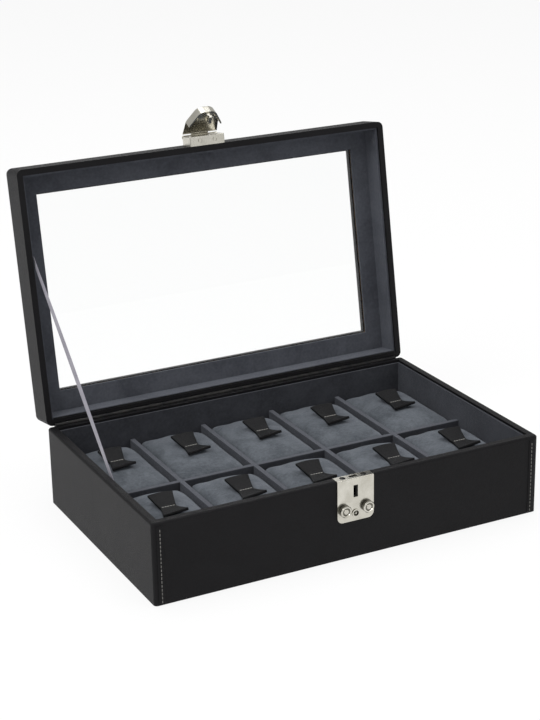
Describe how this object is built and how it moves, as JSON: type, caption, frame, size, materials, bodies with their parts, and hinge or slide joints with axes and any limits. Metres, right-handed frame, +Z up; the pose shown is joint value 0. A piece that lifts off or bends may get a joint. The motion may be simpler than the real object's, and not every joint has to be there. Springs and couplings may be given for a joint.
{
  "type": "watch box",
  "caption": "Leather-covered watch box with glazed hinged lid, lined cells holding lift-out cushions with pull tabs, ribbon stay, and a nickel hasp with latching lock.",
  "frame": {"origin": "middle of the underside of the base, on the surface it stands on", "axes": "+X to the right along the long side, +Y to the back where the hinge is, +Z up"},
  "size_m": [0.35, 0.2898, 0.3177],
  "materials": {
    "leather": "fine-grained, satin",
    "board": "fibreboard, raw",
    "suede": "napped suede",
    "felt": "felt",
    "nickel": "polished nickel plate",
    "steel": "plain steel",
    "dark_steel": "blackened steel, worn bright on the hinge knuckles",
    "glass": "clear float glass",
    "ribbon": "satin ribbon"
  },
  "bodies": {
    "base": {"base_leather": "leather", "base_front_board": "board", "base_back_board": "board", "base_left_board": "board", "base_right_board": "board", "base_floor_board": "board", "base_felt": "felt", "base_floor_lining": "suede", "base_lining": "suede", "long_divider": "suede", "cross_divider_1": "suede", "cross_divider_2": "suede", "cross_divider_3": "suede", "cross_divider_4": "suede", "hinge_base_leaf": "dark_steel", "hinge_pin": "dark_steel", "lock_plate": "nickel", "lock_screws": "nickel", "lock_case": "dark_steel", "lid_ribbon": "ribbon"},
    "lid": {"lid_leather": "leather", "lid_rails": "board", "lid_top_board": "board", "lid_glass": "glass", "lid_window_frame": "suede", "lid_lining": "suede", "hinge_lid_leaf": "dark_steel", "hasp_bracket": "nickel", "hasp_rivets": "nickel", "hasp_pin": "steel"},
    "hasp": {"hasp_cover": "nickel", "hasp_staple": "nickel"},
    "left_latch": {"left_knob": "nickel", "left_slide": "dark_steel"},
    "right_latch": {"right_knob": "nickel", "right_slide": "dark_steel"},
    "key": {"key_barrel": "nickel", "key_cam": "steel"},
    "place_front_1": {"cushion_front_1": "suede", "tab_front_1": "leather"},
    "place_front_2": {"cushion_front_2": "suede", "tab_front_2": "leather"},
    "place_front_3": {"cushion_front_3": "suede", "tab_front_3": "leather"},
    "place_front_4": {"cushion_front_4": "suede", "tab_front_4": "leather"},
    "place_front_5": {"cushion_front_5": "suede", "tab_front_5": "leather"},
    "place_back_1": {"cushion_back_1": "suede", "tab_back_1": "leather"},
    "place_back_2": {"cushion_back_2": "suede", "tab_back_2": "leather"},
    "place_back_3": {"cushion_back_3": "suede", "tab_back_3": "leather"},
    "place_back_4": {"cushion_back_4": "suede", "tab_back_4": "leather"},
    "place_back_5": {"cushion_back_5": "suede", "tab_back_5": "leather"}
  },
  "joints": [
    {"name": "lid_hinge", "type": "hinge", "parent": "base", "child": "lid", "pos_m": [0, 0.10925, 0.06975], "axis": [-1, 0, 0], "range_deg": [-99.6, 0], "deforming": ["lid_ribbon"]},
    {"name": "hasp_hinge", "type": "hinge", "parent": "lid", "child": "hasp", "pos_m": [0, 0.16186, 0.28996], "axis": [-1, 0, 0], "range_deg": [-55, 95]},
    {"name": "left_latch_slide", "type": "slide", "parent": "base", "child": "left_latch", "axis": [1, 0, 0], "range_m": [0, 0.0028], "stiffness_N_per_m": 300, "springref_m": -0.003},
    {"name": "right_latch_slide", "type": "slide", "parent": "base", "child": "right_latch", "axis": [-1, 0, 0], "range_m": [0, 0.0028], "stiffness_N_per_m": 300, "springref_m": -0.003},
    {"name": "key_turn", "type": "hinge", "parent": "base", "child": "key", "pos_m": [0, -0.10925, 0.0395], "axis": [0, -1, 0], "range_deg": [-90, 0]},
    {"name": "lift_front_1", "type": "slide", "parent": "base", "child": "place_front_1", "axis": [0, 0, 1], "range_m": [0, 0.1]},
    {"name": "lift_front_2", "type": "slide", "parent": "base", "child": "place_front_2", "axis": [0, 0, 1], "range_m": [0, 0.1]},
    {"name": "lift_front_3", "type": "slide", "parent": "base", "child": "place_front_3", "axis": [0, 0, 1], "range_m": [0, 0.1]},
    {"name": "lift_front_4", "type": "slide", "parent": "base", "child": "place_front_4", "axis": [0, 0, 1], "range_m": [0, 0.1]},
    {"name": "lift_front_5", "type": "slide", "parent": "base", "child": "place_front_5", "axis": [0, 0, 1], "range_m": [0, 0.1]},
    {"name": "lift_back_1", "type": "slide", "parent": "base", "child": "place_back_1", "axis": [0, 0, 1], "range_m": [0, 0.1]},
    {"name": "lift_back_2", "type": "slide", "parent": "base", "child": "place_back_2", "axis": [0, 0, 1], "range_m": [0, 0.1]},
    {"name": "lift_back_3", "type": "slide", "parent": "base", "child": "place_back_3", "axis": [0, 0, 1], "range_m": [0, 0.1]},
    {"name": "lift_back_4", "type": "slide", "parent": "base", "child": "place_back_4", "axis": [0, 0, 1], "range_m": [0, 0.1]},
    {"name": "lift_back_5", "type": "slide", "parent": "base", "child": "place_back_5", "axis": [0, 0, 1], "range_m": [0, 0.1]}
  ]
}
